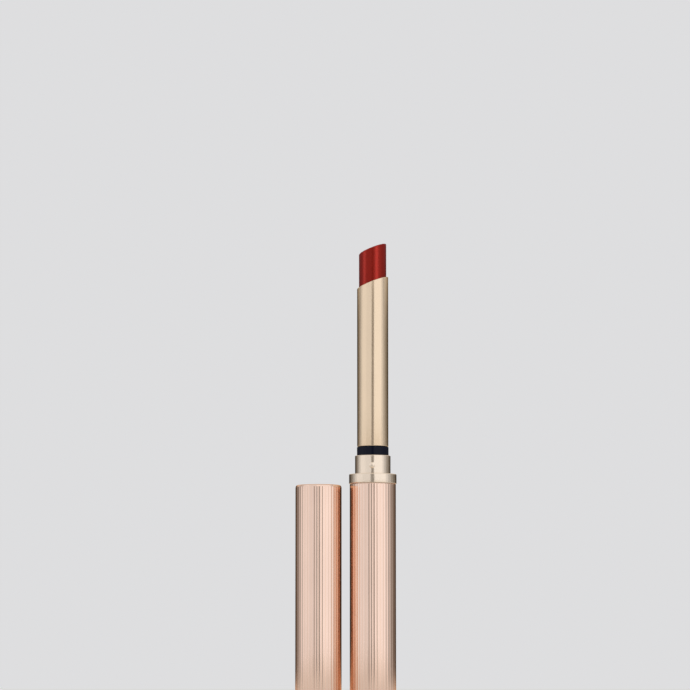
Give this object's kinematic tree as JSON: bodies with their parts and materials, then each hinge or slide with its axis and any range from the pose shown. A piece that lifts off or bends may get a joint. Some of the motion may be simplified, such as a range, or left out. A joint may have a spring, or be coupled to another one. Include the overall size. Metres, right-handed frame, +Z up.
{
  "type": "lipstick case",
  "caption": "Slim twist-up lipstick case with a reeded base, slant-mouthed guide tube, raised bullet and a reeded cap standing beside it.",
  "frame": {"origin": "centre of the base's flat underside, on the axis of the base and guide tube", "axes": "+Z up along the base's axis towards the bullet, +X to the right seen from the front, -Y to the front; the cap stands at -X"},
  "size_m": [0.0261, 0.0122, 0.118],
  "materials": {
    "rose_metal": "satin rose-gold anodised, reeded",
    "champagne_metal": "satin champagne anodised",
    "gold_metal": "satin pale-gold anodised",
    "navy_plastic": "moulded, semi-gloss navy",
    "red_wax": "waxy satin brick-red lipstick",
    "white_plastic": "natural moulded acetal",
    "grey_plastic": "moulded, fine matte",
    "steel": "turned, zinc plated",
    "silicone": "greased silicone",
    "label_paper": "blank film label"
  },
  "bodies": {
    "base": {"base_shell": "rose_metal", "foot_plug": "grey_plastic", "shade_label": "label_paper", "base_weight": "steel", "base_liner": "white_plastic", "collar": "champagne_metal", "neck_sleeve": "champagne_metal", "spiral_sleeve": "white_plastic"},
    "turner": {"slotted_body": "navy_plastic", "retaining_ring": "grey_plastic", "friction_ring": "silicone", "guide_tube": "gold_metal"},
    "feed": {"plunger": "white_plastic", "bullet_cup": "white_plastic", "bullet": "red_wax"},
    "cap": {"cap_shell": "rose_metal", "cap_liner": "grey_plastic"}
  },
  "joints": [
    {"name": "twist", "type": "hinge", "parent": "base", "child": "turner", "pos_m": [0, 0, 0], "axis": [0, 0, 1], "range_deg": [-360.5, 540.5]},
    {"name": "bullet_feed", "type": "slide", "parent": "turner", "child": "feed", "axis": [0, 0, 1], "range_m": [-0.0096, 0.0144]},
    {"name": "cap_lift", "type": "slide", "parent": "base", "child": "cap", "axis": [0, 0, 1], "range_m": [0, 0.12]}
  ],
  "couplings": [
    {"joint": "twist", "follows": "bullet_feed", "rad_per_m": 654.5}
  ]
}
